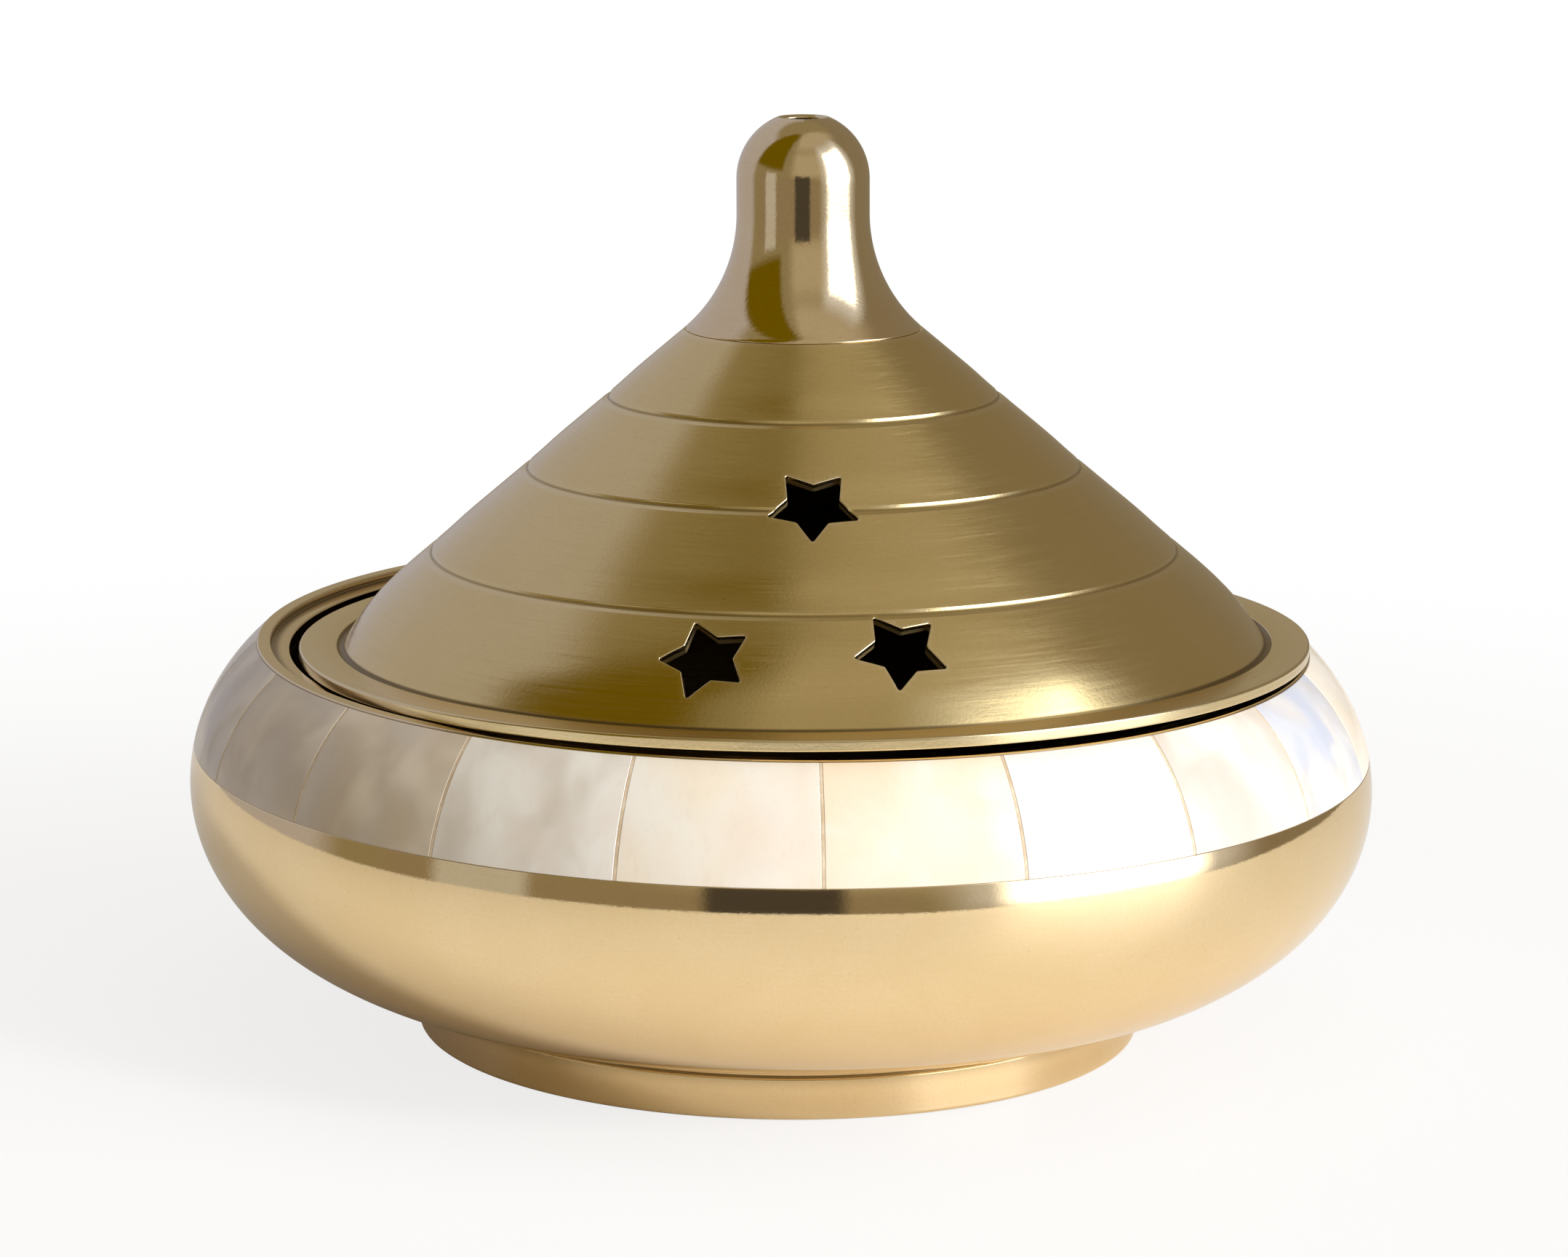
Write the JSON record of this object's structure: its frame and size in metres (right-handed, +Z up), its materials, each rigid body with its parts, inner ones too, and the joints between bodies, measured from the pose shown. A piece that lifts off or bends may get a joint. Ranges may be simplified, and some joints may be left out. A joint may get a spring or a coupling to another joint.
{
  "type": "lidded incense burner",
  "caption": "Turned brass incense and charcoal burner with a pierced, lift-off cone lid, a pearl-tiled band, a ring foot and a loose burner plate inside",
  "frame": {"origin": "centre of the foot's underside, on the table", "axes": "+Z up along the bowl's turning axis, -Y to the front, where one group of three stars faces, +X to the right"},
  "size_m": [0.1022, 0.1022, 0.0794],
  "materials": {
    "polished_brass": "bright turned and buffed brass, lacquered, mirror-like on the finial and just under the band",
    "brushed_brass": "satin brass with fine turning marks round the axis, slightly toned",
    "plain_brass": "plain pressed or turned brass, dull inside from smoke",
    "pearl": "mother-of-pearl tile, polished flush, cloudy cream to grey with a faint colour play",
    "cement": "tan resin cement rubbed flush between the tiles"
  },
  "bodies": {
    "bowl": {"bowl_shell": "polished_brass", "foot_ring": "polished_brass", "rim_ring": "polished_brass", "inlay_cement": "cement", "pearl_tile_01": "pearl", "pearl_tile_02": "pearl", "pearl_tile_03": "pearl", "pearl_tile_04": "pearl", "pearl_tile_05": "pearl", "pearl_tile_06": "pearl", "pearl_tile_07": "pearl", "pearl_tile_08": "pearl", "pearl_tile_09": "pearl", "pearl_tile_10": "pearl", "pearl_tile_11": "pearl", "pearl_tile_12": "pearl", "pearl_tile_13": "pearl", "pearl_tile_14": "pearl", "pearl_tile_15": "pearl", "pearl_tile_16": "pearl", "pearl_tile_17": "pearl", "pearl_tile_18": "pearl", "pearl_tile_19": "pearl", "pearl_tile_20": "pearl"},
    "lid": {"lid_shell": "brushed_brass", "finial": "polished_brass"},
    "burner": {"burner_plate": "plain_brass", "cone_cup": "plain_brass"}
  },
  "joints": [
    {"name": "lid_lift", "type": "slide", "parent": "bowl", "child": "lid", "axis": [0, 0, 1], "range_m": [0, 0.06]},
    {"name": "plate_lift", "type": "slide", "parent": "bowl", "child": "burner", "axis": [0, 0, 1], "range_m": [0, 0.0272]}
  ]
}
